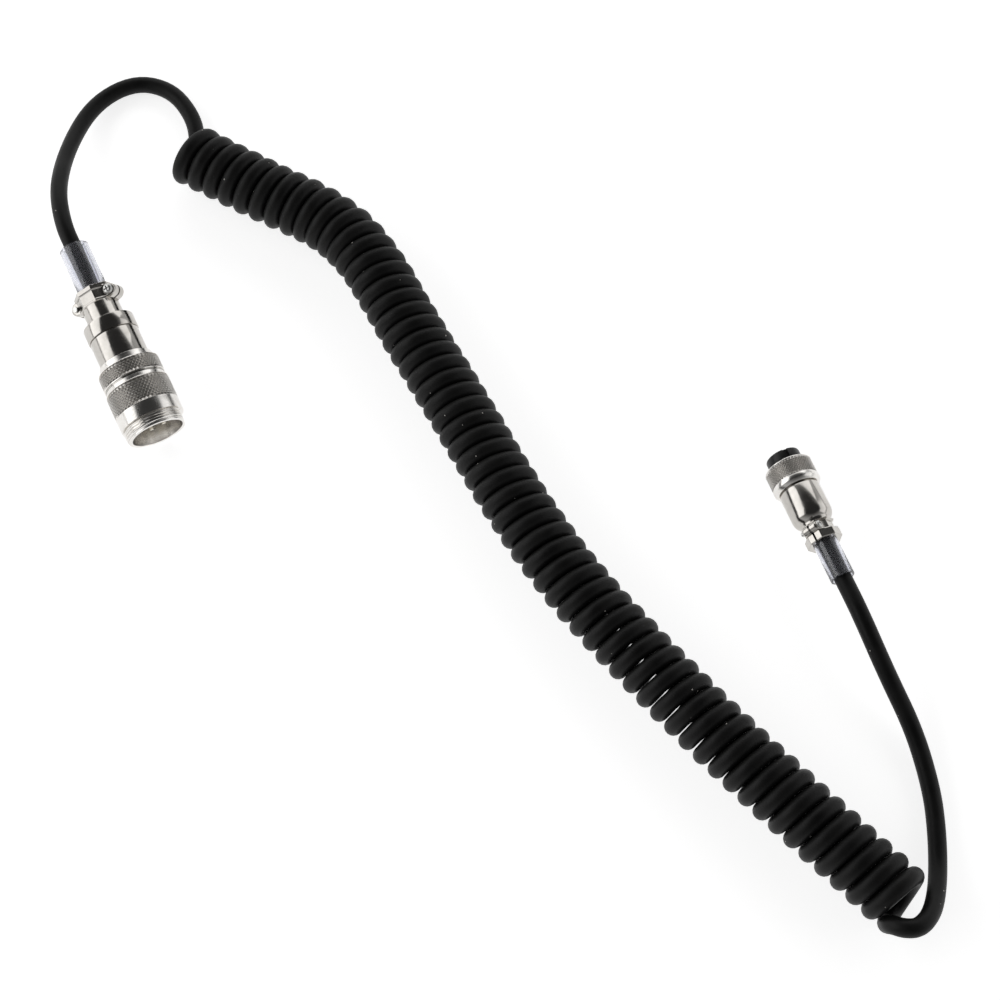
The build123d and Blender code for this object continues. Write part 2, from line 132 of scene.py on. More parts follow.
def spline_curve(name, points, bevel=0.0):
    """A curve object with one smooth spline that runs close to its points, in millimetres."""
    curve = bpy.data.curves.new(name, "CURVE")
    curve.dimensions = "3D"
    spline = curve.splines.new("NURBS")
    spline.points.add(len(points) - 1)
    for place, point in zip(spline.points, points):
        place.co = (*[c * MM for c in point], 1)
    spline.order_u = 3
    spline.use_endpoint_u = True
    curve.resolution_u = 6
    curve.bevel_depth = bevel * MM
    curve.bevel_resolution = 7
    curve.use_fill_caps = True
    curve.splines[0].use_smooth = True
    made = bpy.data.objects.new(name, curve)
    bpy.context.scene.collection.objects.link(made)
    return made


def points_along(curve_object):
    """Points of a curve's own line, in millimetres, and the length of the line up to each."""
    bpy.context.view_layer.update()
    graph = bpy.context.evaluated_depsgraph_get()
    mesh = bpy.data.meshes.new_from_object(curve_object.evaluated_get(graph))
    places = [v.co / MM for v in mesh.vertices]
    bpy.data.meshes.remove(mesh)
    lengths = [0.0]
    for before, after in zip(places, places[1:]):
        lengths.append(lengths[-1] + (after - before).length)
    return places, lengths


# %% [markdown]
# A coil keeps to its maker's pitch only roughly. The turns are packed more closely behind the bend
# and open a little toward both ends. A list of pitches at shares of the coil says so, and the places
# of the turns are added up from it. A quadratic spline runs slightly inside its control points, so
# the points stand on a circle that is larger by that same share.

# %% Turns of the coil
TURNS, TURN_POINTS = 59.25, 16
START, END = 3.0, 2.4               # mm of axis before the first turn and after the last
PITCHES = [(0.0, 7.0), (0.12, 6.85), (0.32, 6.45), (0.5, 6.5), (0.68, 6.95), (1.0, 6.95)]
SIZE_SWAY, SWAY_RATE = 0.006, 1.7   # how much the turns differ in size, and how often

axis_line = spline_curve("coil_axis", [(x, y, COIL_D / 2) for x, y in COIL_AXIS])
axis_points, axis_lengths = points_along(axis_line)
bpy.data.objects.remove(axis_line)


def axis_at(length):
    """Point and direction of the coil's axis at a length along it, in millimetres."""
    i = 1
    while i < len(axis_lengths) - 1 and axis_lengths[i] < length:
        i += 1
    span = axis_lengths[i] - axis_lengths[i - 1]
    share = (length - axis_lengths[i - 1]) / span
    before, after = axis_points[i - 1], axis_points[i]
    return before.lerp(after, share), (after - before).normalized()


inset = 0.75 + 0.25 * cos(2 * pi / TURN_POINTS)
turn_radius = (COIL_D - CORD_D) / 2 / inset
coil_length = axis_lengths[-1] - START - END


def along_profile(profile, station):
    """Value at a station of a profile of (station, value) points."""
    for (before, low), (after, high) in zip(profile, profile[1:]):
        if station <= after:
            return low + (high - low) * (station - before) / (after - before)
    return profile[-1][1]


steps = round(TURNS * TURN_POINTS)
places = [0.0]
for n in range(steps):
    places.append(places[-1] + along_profile(PITCHES, (n + 0.5) / steps))
turns = []
for n in range(steps + 1):
    along = START + coil_length * places[n] / places[-1]
    centre, heading = axis_at(along)
    front = heading.cross(Vector((0, 0, 1))).normalized()
    angle = 2 * pi * n / TURN_POINTS
    loose = 1 + SIZE_SWAY * sin(SWAY_RATE * along / CORD_D)
    turns.append(centre + (front * sin(angle) - Vector((0, 0, 1)) * cos(angle)) * turn_radius * loose)

cord = spline_curve("cord", JACK_LEAD + [tuple(p) for p in turns] + PLUG_LEAD, bevel=CORD_D / 2)
cord_line = spline_curve("cord_line", JACK_LEAD + [tuple(p) for p in turns] + PLUG_LEAD)
_, run = points_along(cord_line)
bpy.data.objects.remove(cord_line)
print("coil axis", round(axis_lengths[-1], 1), "mm, mean pitch", round(coil_length / TURNS, 2), "mm")
print("cord", round(run[-1]), "mm")

# %% [markdown]
# Metal pieces of a connector come off a lathe. A list of corners, each a station and a radius, is
# turned round the axis. Real corners are never knife-sharp, so each corner is broken by a small
# edge that catches the light. Diamond knurling is pressed in by two crossing wheels: it leaves rows of
# little pyramids, built here point by point so that every groove is straight.

# %% Lathe, knurl and thread
SEGMENTS = 144


def broken_corners(chain, edge):
    """An open chain of corners, each inner corner replaced by three points of a small round edge."""
    rounded = [Vector(chain[0])]
    for before, corner, after in zip(chain, chain[1:], chain[2:]):
        corner = Vector(corner)
        into, out = Vector(before) - corner, Vector(after) - corner
        reach = min(edge, 0.4 * into.length, 0.4 * out.length)
        first, last = corner + into.normalized() * reach, corner + out.normalized() * reach
        rounded += [first, (first + corner * 2 + last) / 4, last]
    return rounded + [Vector(chain[-1])]


def ring_of(bm, station, radius_at, segments, place=(0, 0)):
    """One ring of points round an axis through place; radius_at gives the radius at each step."""
    ring = []
    for i in range(segments):
        angle = 2 * pi * i / segments
        radius = radius_at(i)
        ring.append(bm.verts.new((station, place[0] + radius * cos(angle), place[1] + radius * sin(angle))))
    return ring


def bridge(bm, one, other):
    """Quads between two rings."""
    count = len(one)
    for i in range(count):
        j = (i + 1) % count
        bm.faces.new((one[i], one[j], other[j], other[i]))


def knurl_rings(bm, first, start, end, radius, depth, rows):
    """Diamond knurl between two stations, each diamond with a small worn top. Returns the last ring."""
    grid, count = [first], len(first)
    for row in range(1, rows + 1):
        station = start + (end - start) * row / rows
        edge_row = row == rows
        grid.append(ring_of(bm, station, lambda i, row=row, edge=edge_row:
                            radius - depth if edge or (i + row) % 2 == 0 else radius - depth * 0.5, count))
    for row in range(1, rows):
        for i in range(count):
            if (i + row) % 2 == 0:
                continue
            peak = grid[row][i]
            corners = [grid[row][(i - 1) % count], grid[row + 1][i]]
            corners += [grid[row][(i + 1) % count], grid[row - 1][i]]
            top = []
            for corner in corners:
                toward = peak.co.lerp(corner.co, 0.22)
                flat = Vector((0, toward.y, toward.z)).normalized() * radius
                top.append(bm.verts.new((toward.x, flat.y, flat.z)))
            bm.faces.new(top)
            for k in range(4):
                n = (k + 1) % 4
                bm.faces.new((corners[k], corners[n], top[n], top[k]))
            bm.verts.remove(peak)
    for row, other in ((0, 1), (rows, rows - 1)):
        for i in range(count):
            if (i + row) % 2 == 1:
                edge = grid[row][i]
                near = grid[other][i]
                left, right = grid[row][(i - 1) % count], grid[row][(i + 1) % count]
                bm.faces.new((left, edge, near))
                bm.faces.new((edge, right, near))
    return grid[-1]


def mesh_object(name, bm, base, sharp=35, recesses=()):
    """Turn a bmesh in connector millimetres into a smooth object of the scene, in the row frame.

    Each recess is (start, end, radius, depth). Its depth under that radius is kept on the points as
    the attribute "recess", with which the finish darkens the low places, for dirt and as painted shade.
    """
    bmesh.ops.recalc_face_normals(bm, faces=bm.faces)
    mesh = bpy.data.meshes.new(name)
    bm.to_mesh(mesh)
    bm.free()
    recess = mesh.attributes.new("recess", "FLOAT", "POINT")
    for vertex, low in zip(mesh.vertices, recess.data):
        station, distance = vertex.co.x, Vector(vertex.co.yz).length
        for start, end, radius, depth in recesses:
            if min(start, end) - 0.01 <= station <= max(start, end) + 0.01:
                low.value = min(1, max(0, (radius - distance) / depth))
    mesh.transform(base)
    return shown(name, mesh, sharp)


def shown(name, mesh, sharp=35):
    """Link a mesh to the scene, shaded smooth but for its sharp edges."""
    mesh.polygons.foreach_set("use_smooth", [True] * len(mesh.polygons))
    mesh.set_sharp_from_angle(angle=radians(sharp))
    made = bpy.data.objects.new(name, mesh)
    bpy.context.scene.collection.objects.link(made)
    return made


def turned_piece(name, base, sections, segments=SEGMENTS, edge=0.12, closed=True, places=((0, 0),)):
    """A lathe piece. Its outline is a chain of sections that goes once round the wall."""
    bm, recesses = bmesh.new(), []
    for place in places:
        rings = []
        for kind, *values in sections:
            if kind == "plain":
                stations = [(u, r, None) for u, r in broken_corners(values[0], edge)]
            if kind == "knurl":
                start, end, radius, depth, rows = values
                recesses.append((start, end, radius, depth))
                stations = [(start, radius - depth, None)]
            if kind == "thread":
                start, end, radius, depth, pitch = values
                recesses.append((start, end, radius, depth))
                steps = round(abs(end - start) / pitch * 8)
                shares = [n / steps for n in range(steps + 1)]
                stations = [(start + (end - start) * share, radius, share) for share in shares]
            for station, radius, share in stations:
                if share is None:
                    ring = ring_of(bm, station, lambda i: radius, segments, place)
                else:
                    fade = min(1, 4 * share, 4 * (1 - share)) ** 0.5
                    ring = ring_of(bm, station, lambda i: radius - depth * (1 - fade * ridge(
                        station / pitch - i / segments)), segments, place)
                if rings:
                    bridge(bm, rings[-1], ring)
                rings.append(ring)
            if kind == "knurl":
                rings.append(knurl_rings(bm, rings[-1], start, end, radius, depth, rows))
        if closed:
            bridge(bm, rings[-1], rings[0])
        else:
            bm.faces.new(rings[0])
            bm.faces.new(rings[-1])
    return mesh_object(name, bm, base, recesses=recesses)


def ridge(phase):
    """Height of a V thread with worn tops, from 0 to 1, at a phase counted in pitches."""
    return min(1, max(0, 2.4 * abs(2 * (phase % 1) - 1) - 0.7))


# %% [markdown]
# The jack's front shell is one turned piece. From the mouth it has a thread for a panel nut with one
# side milled flat, a plain band, a wide knurl for the fingers, a groove and a threaded tail. The
# knurl needs twice as many points round the shell as it has diamonds.

# %% Jack: front shell and lock ring
THREAD_END, BAND_END, KNURL_END = 4.5, 9.3, 19.3
LOCK_FRONT, LOCK_BACK, SHELL_END = 21.4, 27.8, 30.4
MOUTH_R, THREAD_R, BAND_R, KNURL_R, GROOVE_R, TAIL_R, LOCK_R = 9.8, 11.7, 12.2, 12.85, 11.6, 10.4, 12.5
KNURL_DEPTH, FLAT_DEPTH = 0.62, 1.1

shell = turned_piece("jack_shell", JACK, [
    ("plain", [(15, MOUTH_R), (0, MOUTH_R), (0, THREAD_R - 0.5), (0.3, THREAD_R - 0.5)]),
    ("thread", 0.4, THREAD_END - 0.1, THREAD_R, 0.5, 1.0),
    ("plain", [(THREAD_END, THREAD_R - 0.55), (THREAD_END, BAND_R), (BAND_END, BAND_R),
               (BAND_END + 0.3, KNURL_R - KNURL_DEPTH)]),
    ("knurl", BAND_END + 0.4, KNURL_END - 0.4, KNURL_R, KNURL_DEPTH, 11),
    ("plain", [(KNURL_END - 0.3, KNURL_R - KNURL_DEPTH), (KNURL_END, KNURL_R - 0.7), (KNURL_END, GROOVE_R),
               (LOCK_FRONT - 0.6, GROOVE_R), (LOCK_FRONT - 0.6, TAIL_R), (SHELL_END, TAIL_R),
               (SHELL_END, MOUTH_R), (22.2, MOUTH_R), (22.2, 8.7), (20.8, 8.7), (20.8, MOUTH_R)]),
], segments=96, edge=0.15)
to_jack = JACK.inverted()
FLAT_AT = -(THREAD_R - FLAT_DEPTH)
for vertex in shell.data.vertices:
    place = to_jack @ vertex.co
    if place.x < THREAD_END + 0.01 and place.y < FLAT_AT:
        place.y = FLAT_AT
        vertex.co = JACK @ place
shell.data.set_sharp_from_angle(angle=radians(35))

LOCK_BORE_R = TAIL_R + 0.05
lock_ring = turned_piece("jack_lock_nut", JACK, [
    ("plain", [(24, LOCK_BORE_R), (LOCK_FRONT, LOCK_BORE_R), (LOCK_FRONT, LOCK_R - 0.6),
               (LOCK_FRONT + 0.3, LOCK_R - KNURL_DEPTH)]),
    ("knurl", LOCK_FRONT + 0.4, LOCK_BACK - 0.4, LOCK_R, KNURL_DEPTH, 7),
    ("plain", [(LOCK_BACK - 0.3, LOCK_R - KNURL_DEPTH), (LOCK_BACK, LOCK_R - 0.7),
               (LOCK_BACK, LOCK_BORE_R)]),
], segments=96, edge=0.15)
print("front shell", len(shell.data.polygons), "faces, lock ring", len(lock_ring.data.polygons))

# %% [markdown]
# Behind the lock ring the jack is plain: a barrel, and a back shell whose collar ends in a narrow
# neck. Plain turned faces show long bright and dark bands, because they mirror the room, so nothing
# is added to them but small round edges.

# %% Jack: barrel and back shell
barrel = turned_piece("jack_tube", JACK, [
    ("plain", [(30, 8.2), (22.4, 8.2), (22.4, 9.5), (41.2, 9.5), (41.2, 8.2)]),
], edge=0.25)
back_shell = turned_piece("jack_back", JACK, [
    ("plain", [(50, 4.6), (45.1, 4.6), (43.6, 6.9), (36, 6.9), (36, 8.2), (41.3, 8.2), (41.3, 9.9),
               (47.1, 9.9), (47.1, 7.2), (54.5, 7.2), (54.5, 4.6)]),
], edge=0.35)
print("barrel", len(barrel.data.polygons), "faces, back shell", len(back_shell.data.polygons))

# %% [markdown]
# The cord is held by a die-cast clamp: a saddle that belongs to the back shell, and a loose strap,
# pulled together by two screws. A casting has no sharp corners. The halves are drawn as sections
# square to the cord. Each section joins a round saddle to two ears with a soft maximum, which leaves
# a fillet, and the ears grow and shrink along the clamp like the bosses of a casting.

# %% Clamp halves
CLAMP_COLUMNS, CLAMP_ROWS, BOSS_ROWS = 96, 16, 24
EAR_POWER, FILLET_POWER = 10, 14      # how square an ear is, and how tight the fillet at its root
NEAR_SPLIT = 0.05                   # radians from the split, where an ear's width is read
FACE_SHARE = 0.94                   # how far in the flat faces lie, as a share of the rim


def softmax(a, b, power):
    """The larger of two lengths, with a fillet where they cross."""
    return (a ** power + b ** power) ** (1 / power)


def clamp_section(station, body, clamp, side, facets):
    """Points round one section of a clamp half: outside from ear to ear, then back along the bore."""
    boss = clamp["reach"] - clamp["screw_x"]
    off = station - clamp["screw_station"]
    reach = clamp["screw_x"] + (boss ** 2 - off ** 2) ** 0.5 if abs(off) < boss else 0.0
    radius = along_profile(body, station)

    def outer(angle):
        wall = radius
        if facets:
            step = 2 * pi / facets
            wall = radius * FACE_SHARE / cos((angle - pi / 2 + step / 2) % step - step / 2)
        if reach <= 0:
            return wall
        across, up = abs(cos(angle)) / reach, abs(sin(angle)) / clamp["ear_top"]
        return softmax(wall, 1 / softmax(across, up, EAR_POWER), FILLET_POWER)

    half_gap, bore = clamp["gap"] / 2, clamp["bore"]
    points = []
    for radius_at in (outer, lambda angle: bore):
        start = half_gap / radius_at(NEAR_SPLIT)
        arc = []
        for n in range(CLAMP_COLUMNS + 1):
            angle = start + (pi - 2 * start) * n / CLAMP_COLUMNS
            r = radius_at(angle)
            height = half_gap if n in (0, CLAMP_COLUMNS) else max(half_gap, r * sin(angle))
            arc.append((r * cos(angle), side * height))
        points += arc if radius_at is outer else arc[::-1]
    return points


def clamp_half(name, base, clamp, side, body, facets=0):
    """Loft one half of a clamp through its sections; side is +1 for the strap, -1 for the saddle."""
    start, end = body[0][0], body[-1][0]
    boss = clamp["reach"] - clamp["screw_x"]
    stations = {u for u, _ in body}
    stations |= {clamp["screw_station"] + boss * cos(pi * n / BOSS_ROWS) for n in range(BOSS_ROWS + 1)}
    stations |= {start + (end - start) * n / CLAMP_ROWS for n in range(CLAMP_ROWS + 1)}
    stations = sorted(u for u in stations if start <= u <= end)
    stations = [u for u, after in zip(stations, stations[1:]) if after - u > 0.03] + [stations[-1]]
    tilt = Matrix.Rotation(radians(clamp["roll"]), 4, "X")
    bm, loops = bmesh.new(), []
    for station in stations:
        section = clamp_section(station, body, clamp, side, facets)
        loops.append([bm.verts.new(tilt @ Vector((station, x, y))) for x, y in section])
        if len(loops) > 1:
            bridge(bm, loops[-2], loops[-1])
    count = len(loops[0])
    for loop in (loops[0], loops[-1]):
        for n in range(count // 2 - 1):
            bm.faces.new((loop[n], loop[n + 1], loop[count - 2 - n], loop[count - 1 - n]))
    return mesh_object(name, bm, base, sharp=40)


JACK_CLAMP = dict(front=54.2, end=61.0, rim=8.0, bore=5.75, reach=10.2, screw_x=7.8, screw_station=57.0,
                  ear_top=4.0, gap=0.8, hole=1.2, roll=-27, ways=(1, -1))
PLUG_CLAMP = dict(front=30.6, end=38.3, rim=6.7, bore=4.55, reach=8.1, screw_x=6.3, screw_station=33.3,
                  ear_top=3.35, gap=0.8, hole=0.95, roll=-50, ways=(1, 1))


def body_profile(clamp, recess, front_lip, back_lip):
    """Radii along a clamp: a raised rim at the neck, a recess, and a flange at the cord."""
    front, end, rim = clamp["front"], clamp["end"], clamp["rim"]
    low = rim - recess
    return [
        (front, rim - 0.65), (front + 0.3, rim - 0.3), (front + front_lip, rim - 0.3),
        (front + front_lip + 0.3, low), (end - back_lip - 0.35, low), (end - back_lip, rim - 0.1),
        (end - back_lip + 0.2, rim), (end - 0.3, rim), (end, rim - 0.3),
    ]


jack_body = body_profile(JACK_CLAMP, 0.5, 0.8, 1.9)
jack_strap = clamp_half("jack_strap", JACK, JACK_CLAMP, 1, jack_body, facets=8)
jack_saddle = clamp_half("jack_saddle", JACK, JACK_CLAMP, -1, jack_body, facets=8)
plug_body = body_profile(PLUG_CLAMP, 1.3, 0.5, 3.4)
plug_strap = clamp_half("plug_strap", PLUG, PLUG_CLAMP, 1, plug_body, facets=8)
plug_saddle = clamp_half("plug_saddle", PLUG, PLUG_CLAMP, -1, plug_body, facets=8)
print("clamp halves", [len(o.data.polygons) for o in (jack_strap, jack_saddle, plug_strap, plug_saddle)])

# %% [markdown]
# Each clamp has two small pan-head screws with a cross recess. The jack's two are put in from opposite
# sides and the plug's from the same side. The recess is cut with a boolean, as a cross-shaped punch
# would do it.

# %% Screws
def carve(piece, cutter):
    """Cut one closed mesh out of another and keep the result as the piece's own mesh."""
    cut = piece.modifiers.new("cut", "BOOLEAN")
    cut.object, cut.operation, cut.solver = cutter, "DIFFERENCE", "EXACT"
    bpy.context.view_layer.update()
    graph = bpy.context.evaluated_depsgraph_get()
    carved = bpy.data.meshes.new_from_object(piece.evaluated_get(graph))
    piece.modifiers.clear()
    piece.data = carved
    piece.data.set_sharp_from_angle(angle=radians(35))
    bpy.data.objects.remove(cutter)


def prism(name, base, outline, start, end):
    """A closed prism along the base's X axis, from an outline of (y, z) points."""
    bm = bmesh.new()
    ends = [[bm.verts.new((u, y, z)) for y, z in outline] for u in (start, end)]
    bridge(bm, *ends)
    bm.faces.new(ends[0])
    bm.faces.new(ends[1])
    return mesh_object(name, bm, base)


def cross_outline(reach, half_width):
    """Twelve corners of a cross."""
    quarter = [(reach, -half_width), (reach, half_width), (half_width, half_width)]
    points = []
    for turn in range(4):
        c, s = round(cos(turn * pi / 2)), round(sin(turn * pi / 2))
        points += [(y * c - z * s, y * s + z * c) for y, z in quarter]
    return points


def screw(name, base, clamp, x, way, head_r, head_t):
    """A pan-head screw through an ear; way is +1 when its head is on the strap's side."""
    tilt = Matrix.Rotation(radians(clamp["roll"]), 4, "X")
    seat = Matrix.Translation((clamp["screw_station"], x, way * (clamp["ear_top"] + 0.02)))
    point_up = Matrix.Rotation(radians(-90 * way), 4, "Y")
    place = base @ tilt @ seat @ point_up
    shank, depth = clamp["hole"] - 0.05, 2 * clamp["ear_top"] + 0.8
    piece = turned_piece(name, place, [
        ("plain", [(-depth, shank * 0.6), (-depth, shank), (0, shank), (0, head_r), (head_t * 0.5, head_r),
                   (head_t * 0.85, head_r * 0.86), (head_t, head_r * 0.55), (head_t, head_r * 0.4)]),
    ], segments=48, edge=0.2, closed=False)
    cutter = prism("punch", place, cross_outline(head_r * 0.62, head_r * 0.15), head_t * 0.4, head_t + 0.5)
    carve(piece, cutter)
    return piece


screws = []
SCREW_SETS = [("jack", JACK, JACK_CLAMP, 1.9, 1.3), ("plug", PLUG, PLUG_CLAMP, 1.45, 1.0)]
for label, base, clamp, head_r, head_t in SCREW_SETS:
    for which, x, way in zip("ab", (-clamp["screw_x"], clamp["screw_x"]), clamp["ways"]):
        screws.append(screw(f"{label}_screw_{which}", base, clamp, x, way, head_r, head_t))
print("screws", [len(o.data.polygons) for o in screws])

# %% [markdown]
# A short sleeve of clear soft plastic guards the cord where it leaves each clamp. It is a thin tube
# with a rounded lip. Inside the jack's mouth stand the pins: turned rods with domed tips.

# %% Sleeves and pins
CONTACTS = 5
jack_sleeve = turned_piece("jack_guard", JACK, [
    ("plain", [(70, 4.0), (54.35, 4.0), (54.35, 5.7), (JACK_SLEEVE_END, 5.7), (JACK_SLEEVE_END, 4.0)]),
], edge=0.3)
plug_sleeve = turned_piece("plug_guard", PLUG, [
    ("plain", [(45, 3.7), (30.75, 3.7), (30.75, 4.5), (PLUG_SLEEVE_END, 4.5), (PLUG_SLEEVE_END, 3.7)]),
], edge=0.3)


def around(radius):
    """Places of the contacts on a circle, as (y, z) in connector millimetres."""
    angles = [2 * pi * n / CONTACTS for n in range(CONTACTS)]
    return [(radius * cos(a), radius * sin(a)) for a in angles]


PIN_R, PIN_TIP, PIN_BACK = 0.9, 3.2, 26.0
pins = turned_piece("jack_contact_pins", JACK, [
    ("plain", [(PIN_TIP, 0.15), (PIN_TIP, PIN_R), (PIN_BACK, PIN_R), (PIN_BACK, 0.4)]),
], segments=32, edge=0.6, closed=False, places=around(4.4))
print("sleeves and", CONTACTS, "pins")

# %% [markdown]
# The plug's coupling ring is knurled in front and smooth behind, where it is turned down and
# chamfered. Inside it has a thread. It turns and floats on the front shell, so a narrow gap is left
# behind it. The back shell is a plain barrel with a rounded shoulder.

# %% Plug: coupling ring and back shell
RING_FRONT, RING_KNURL_END, RING_BACK, RING_R = 4.9, 11.9, 14.9, 9.4
RING_DEPTH = 0.45
coupling_ring = turned_piece("plug_ring", PLUG, [
    ("plain", [(12.7, 6.85), (12.7, 7.85), (12.5, 7.9)]),
    ("thread", 12.3, RING_FRONT + 0.6, 8.25, 0.35, 1.0),
    ("plain", [(RING_FRONT + 0.5, 7.9), (RING_FRONT, 8.3), (RING_FRONT, RING_R - 0.5),
               (RING_FRONT + 0.3, RING_R - RING_DEPTH)]),
    ("knurl", RING_FRONT + 0.4, RING_KNURL_END - 0.2, RING_R, RING_DEPTH, 11),
    ("plain", [(RING_KNURL_END - 0.1, RING_R - 0.6), (RING_KNURL_END + 0.2, RING_R - 0.6),
               (RING_KNURL_END + 0.3, RING_R - 0.35), (RING_BACK - 1.2, RING_R - 0.35),
               (RING_BACK, RING_R - 1.3), (RING_BACK, 6.85)]),
], segments=96)
plug_back = turned_piece("plug_back", PLUG, [
    ("plain", [(28, 3.9), (24.5, 3.9), (21.1, 5.6), (21.1, 6.25), (15.3, 6.25), (15.3, 7.7), (26.3, 7.7),
               (27.9, 7.35), (29.1, 6.5), (29.8, 5.8), (30.9, 5.8), (30.9, 3.9)]),
], edge=0.7)
print("coupling ring", len(coupling_ring.data.polygons), "faces, back shell", len(plug_back.data.polygons))

# %% [markdown]
# The insert is a moulded disc of black plastic that stands a little out of the ring. Five sockets and
# a keyway are cut into it, and its front edge is rounded by the mould.

# %% Plug: insert
insert = turned_piece("plug_face", PLUG, [
    ("plain", [(0, 5.0), (0, 6.5), (4.9, 6.5), (4.9, 6.25), (8.75, 6.25), (8.75, 5.55), (18, 5.55),
               (18, 5.0)]),
], edge=0.55, closed=False)
sockets = turned_piece("drill", PLUG, [
    ("plain", [(-1, 0.9), (-1, 1.15), (19, 1.15), (19, 0.9)]),
], segments=32, edge=0.05, closed=False, places=around(3.6))
carve(insert, sockets)
key = prism("key_cutter", PLUG, [(-0.9, 5.6), (0.9, 5.6), (0.9, 7.4), (-0.9, 7.4)], -1, 7.8)
carve(insert, key)
print("insert", len(insert.data.polygons), "faces")

# %% [markdown]
# Every visible finish is made of a few effects that vary over the surface. Each effect is a node
# group, built once. The first is the haze that fingers leave on bare metal: soft clouds that make it
# a little duller and browner, and hair-fine scratches. The second is dust: tiny pale specks that lie
# here and there. The third is the fine pebble of moulded rubber and plastic.

# %% Node groups
def new_group(name, inputs, outputs):
    """An empty shader group with float inputs (name: default) and typed outputs."""
    group = bpy.data.node_groups.new(name, "ShaderNodeTree")
    for label, default in inputs.items():
        socket = group.interface.new_socket(label, in_out="INPUT", socket_type="NodeSocketFloat")
        socket.default_value = default
    for label, kind in outputs.items():
        group.interface.new_socket(label, in_out="OUTPUT", socket_type=kind)
    return group, group.nodes.new("NodeGroupInput"), group.nodes.new("NodeGroupOutput")


def node(tree, kind, links=(), **settings):
    """Add a node, set its values, and link its inputs: links pairs an input with an output socket."""
    made = tree.nodes.new("ShaderNode" + kind)
    for label, value in settings.items():
        setattr(made, label, value)
    for label, source in links:
        if isinstance(source, bpy.types.NodeSocket):
            tree.links.new(source, made.inputs[label])
        else:
            made.inputs[label].default_value = source
    return made


def noise(tree, vector, scale, detail=3.0, roughness=0.5):
    """Soft random clouds; a larger scale makes them smaller."""
    return node(tree, "TexNoise", [("Vector", vector), ("Scale", scale), ("Detail", detail),
                                   ("Roughness", roughness)]).outputs["Fac"]


def math(tree, operation, a, b=0.5, clamp=False):
    """One sum of two values or sockets."""
    return node(tree, "Math", [(0, a), (1, b)], operation=operation, use_clamp=clamp).outputs[0]


def times(tree, vector, factor):
    """A vector made longer by a factor."""
    return node(tree, "VectorMath", [(0, vector), ("Scale", factor)], operation="SCALE").outputs[0]


def ramp(tree, value, low, high, to_low=0.0, to_high=1.0):
    """Map low..high of a value to to_low..to_high, and hold the ends."""
    return node(tree, "MapRange", [("Value", value), ("From Min", low), ("From Max", high),
                                   ("To Min", to_low), ("To Max", to_high)]).outputs["Result"]


wear, wear_in, wear_out = new_group("handled_metal", {"Scale": 1.0}, {
    "Haze": "NodeSocketFloat", "Scratch": "NodeSocketFloat", "Stain": "NodeSocketFloat"})
place = node(wear, "TexCoord").outputs["Object"]
scaled = times(wear, place, wear_in.outputs["Scale"])
clouds = noise(wear, scaled, 260, 5, 0.6)
wear.links.new(ramp(wear, clouds, 0.35, 0.7), wear_out.inputs["Haze"])
stretched = node(wear, "Mapping", [("Vector", scaled), ("Rotation", (0.4, 0.9, 0.3)),
                                   ("Scale", (7000, 250, 250))])
hairs = noise(wear, stretched.outputs[0], 1, 1, 0.5)
wear.links.new(ramp(wear, hairs, 0.62, 0.7), wear_out.inputs["Scratch"])
spots = noise(wear, scaled, 1400, 2, 0.6)
wear.links.new(ramp(wear, spots, 0.6, 0.75), wear_out.inputs["Stain"])

dust, dust_in, dust_out = new_group("dust", {"Amount": 0.5}, {
    "Specks": "NodeSocketFloat", "Film": "NodeSocketFloat"})
place = node(dust, "TexCoord").outputs["Object"]
cells = node(dust, "TexVoronoi", [("Vector", place), ("Scale", 420), ("Randomness", 1.0)])
chance = node(dust, "SeparateColor", [(0, cells.outputs["Color"])])
size = math(dust, "MULTIPLY", chance.outputs[0], 0.14)
near = math(dust, "LESS_THAN", cells.outputs["Distance"], size)
few = math(dust, "LESS_THAN", chance.outputs[1], dust_in.outputs["Amount"])
dust.links.new(math(dust, "MULTIPLY", near, few), dust_out.inputs["Specks"])
upward = node(dust, "SeparateXYZ", [(0, node(dust, "NewGeometry").outputs["Normal"])]).outputs["Z"]
settled = ramp(dust, noise(dust, place, 90, 4, 0.6), 0.4, 0.75)
film = math(dust, "MULTIPLY", settled, ramp(dust, upward, 0.0, 1.0))
dust.links.new(film, dust_out.inputs["Film"])

grain, grain_in, grain_out = new_group("moulded_grain", {"Scale": 1.0}, {
    "Height": "NodeSocketFloat", "Patches": "NodeSocketFloat"})
place = node(grain, "TexCoord").outputs["Object"]
scaled = times(grain, place, grain_in.outputs["Scale"])
cells = node(grain, "TexVoronoi", [("Vector", scaled), ("Scale", 3600)], feature="SMOOTH_F1")
pebbles = cells.outputs["Distance"]
fine = noise(grain, scaled, 5200, 3, 0.6)
grain.links.new(math(grain, "ADD", pebbles, math(grain, "MULTIPLY", fine, 0.6)), grain_out.inputs["Height"])
grain.links.new(ramp(grain, noise(grain, scaled, 120, 3, 0.55), 0.35, 0.7), grain_out.inputs["Patches"])
print("node groups:", [g.name for g in bpy.data.node_groups])

# %% [markdown]
# The metals are one plating, seen on differently worked surfaces, though the knurled pieces get a brighter
# copy of the nickel as painted highlight for the light that their facets catch. Nickel is a warm grey
# mirror. On the knurl and the threads, the recess attribute darkens and dulls the low places, for the
# grease and dust that settle between the diamonds and as painted shade, and the tops stay bright. The
# screws are zinc-plated, whiter and duller.

# %% Metals
FINISH = "_finish"                  # ending of a finish's name; the rest is the record's slot


def new_material(name):
    """A new material with its node tree and its main shader."""
    material = bpy.data.materials.new(name + FINISH)
    material.use_nodes = True
    return material, material.node_tree, material.node_tree.nodes["Principled BSDF"]


def use_group(tree, group, **values):
    """Put a node group into a material, set its inputs, and return its outputs."""
    made = tree.nodes.new("ShaderNodeGroup")
    made.node_tree = group
    for label, value in values.items():
        made.inputs[label].default_value = value
    return made.outputs


